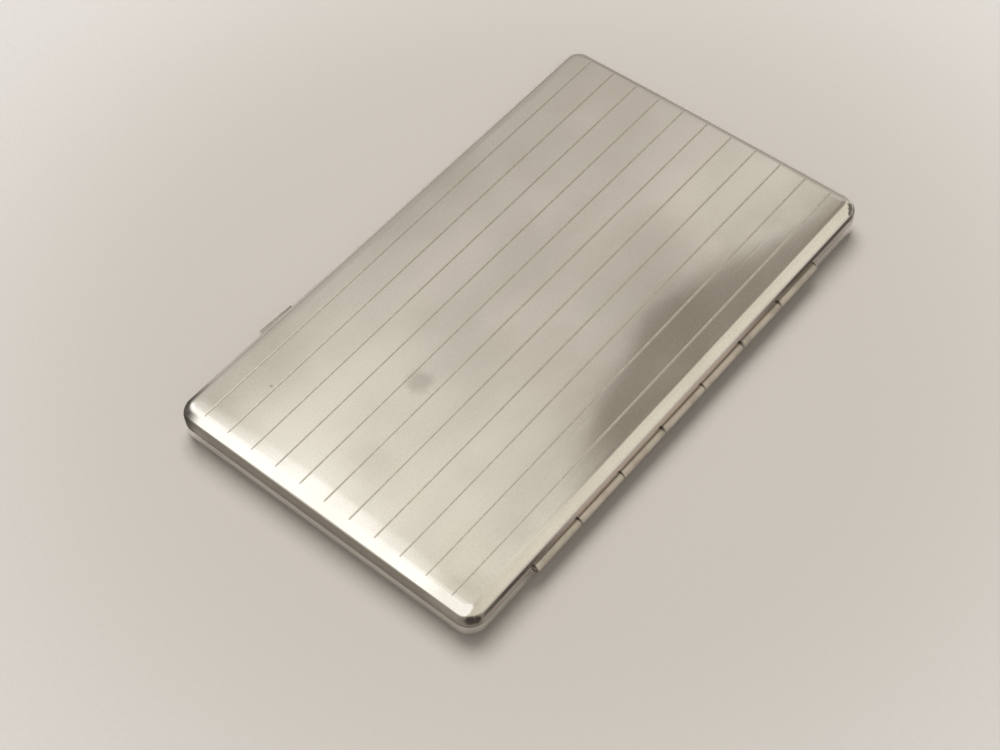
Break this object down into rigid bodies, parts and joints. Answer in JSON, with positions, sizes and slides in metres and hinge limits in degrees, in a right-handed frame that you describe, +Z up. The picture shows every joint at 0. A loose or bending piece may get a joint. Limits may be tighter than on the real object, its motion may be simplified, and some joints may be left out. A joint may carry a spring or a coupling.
{
  "type": "hinged pocket case",
  "caption": "Slim two-part silver pocket case for a single row of slim sticks, with a long knuckled hinge, engraved lengthwise lines and a sprung push catch.",
  "frame": {"origin": "middle of the flat underside, on the surface that the closed case lies on", "axes": "+X towards the hinge side, +Y along the hinge, away from the short side nearest the thumb piece, +Z up through the lid"},
  "size_m": [0.085, 0.136, 0.01],
  "materials": {
    "silver_tray": "satin silver, polished along the rims, lightly tarnished",
    "silver_strip": "gilt-washed silver",
    "silver_wire": "polished silver",
    "spring_metal": "hard-rolled nickel silver",
    "elastic": "woven elastic"
  },
  "bodies": {
    "base": {"base_tray": "silver_tray", "base_bearer": "silver_strip", "base_knuckle_2": "silver_wire", "base_knuckle_4": "silver_wire", "base_knuckle_6": "silver_wire", "hinge_pin": "spring_metal", "lip_near": "silver_strip", "lip_far": "silver_strip", "keeper": "silver_strip", "elastic_band": "elastic", "band_clip_near": "silver_strip", "band_clip_far": "silver_strip"},
    "lid": {"lid_tray": "silver_tray", "lid_bearer": "silver_strip", "lid_knuckle_1": "silver_wire", "lid_knuckle_3": "silver_wire", "lid_knuckle_5": "silver_wire", "lid_knuckle_7": "silver_wire", "plug_near": "silver_wire", "plug_far": "silver_wire", "catch_spring": "spring_metal", "spring_post_near": "silver_strip", "spring_post_far": "silver_strip", "spring_rivets": "silver_wire"},
    "catch": {"thumb_piece": "silver_wire", "catch_hook": "spring_metal", "hook_rivets": "silver_wire"}
  },
  "joints": [
    {"name": "lid_hinge", "type": "hinge", "parent": "base", "child": "lid", "pos_m": [0.04112, 0, 0.0049], "axis": [0, 1, 0], "range_deg": [0, 178]},
    {"name": "thumb_push", "type": "slide", "parent": "lid", "child": "catch", "axis": [1, 0, 0], "range_m": [0, 0.0008], "stiffness_N_per_m": 1300, "deforming": ["catch_spring"]}
  ]
}
